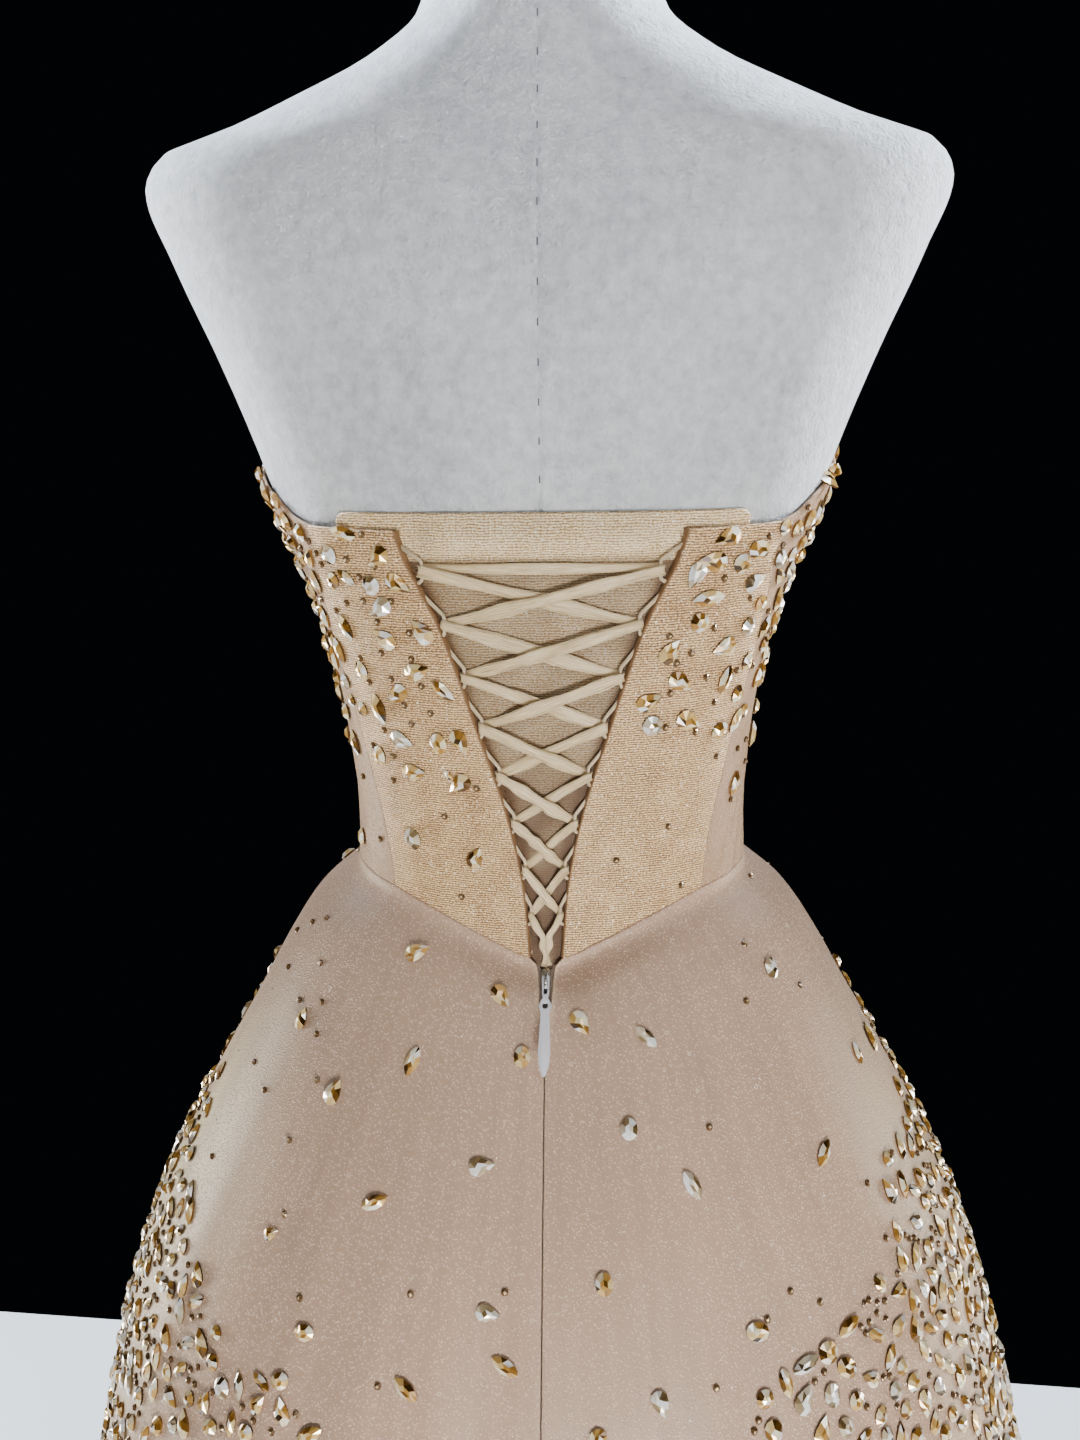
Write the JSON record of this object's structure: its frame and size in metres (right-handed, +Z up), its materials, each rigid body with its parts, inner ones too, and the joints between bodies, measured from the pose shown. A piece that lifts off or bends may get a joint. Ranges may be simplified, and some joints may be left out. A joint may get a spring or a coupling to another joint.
{
  "type": "evening dress on dress form",
  "caption": "Strapless a-line evening dress with a laced back opening, raised stones and a back zip, worn by a limbless dress form on a round stand.",
  "frame": {"origin": "centre of the stand base's underside, on the floor", "axes": "+Z up along the stand's pole; +Y towards the laced back; -Y towards the wearer's front; +X towards the wearer's left"},
  "size_m": [0.9054, 0.8777, 1.56],
  "materials": {
    "form_cover": "white flocked cloth cover, matt",
    "stand_steel": "satin steel",
    "glitter_mesh": "fine horizontal knit mesh with glitter, champagne",
    "tulle_over_satin": "sheer champagne tulle over pale satin",
    "lace_satin": "cream satin ribbon and cord",
    "zip_tape": "woven tape",
    "slider_metal": "nickel-coloured zip slider",
    "pull_enamel": "pale painted zip pull"
  },
  "bodies": {
    "dress_and_form": {"form_torso": "form_cover", "stand_base": "stand_steel", "stand_pole": "stand_steel", "bodice_back_left": "glitter_mesh", "bodice_back_right": "glitter_mesh", "bodice_side_left": "tulle_over_satin", "bodice_side_right": "tulle_over_satin", "bodice_front": "tulle_over_satin", "modesty_panel": "glitter_mesh", "loops_left": "lace_satin", "loops_right": "lace_satin", "corset_lace": "lace_satin", "skirt_back_left": "tulle_over_satin", "skirt_back_right": "tulle_over_satin", "skirt_front": "tulle_over_satin", "zip_tape_left": "zip_tape", "zip_tape_right": "zip_tape", "zip_slider": "slider_metal"},
    "pull": {"zip_pull": "pull_enamel"}
  },
  "joints": [
    {"name": "pull_hinge", "type": "hinge", "parent": "dress_and_form", "child": "pull", "pos_m": [0, 0.09095, 1.02442], "axis": [1, 0, 0], "range_deg": [0, 130]}
  ]
}
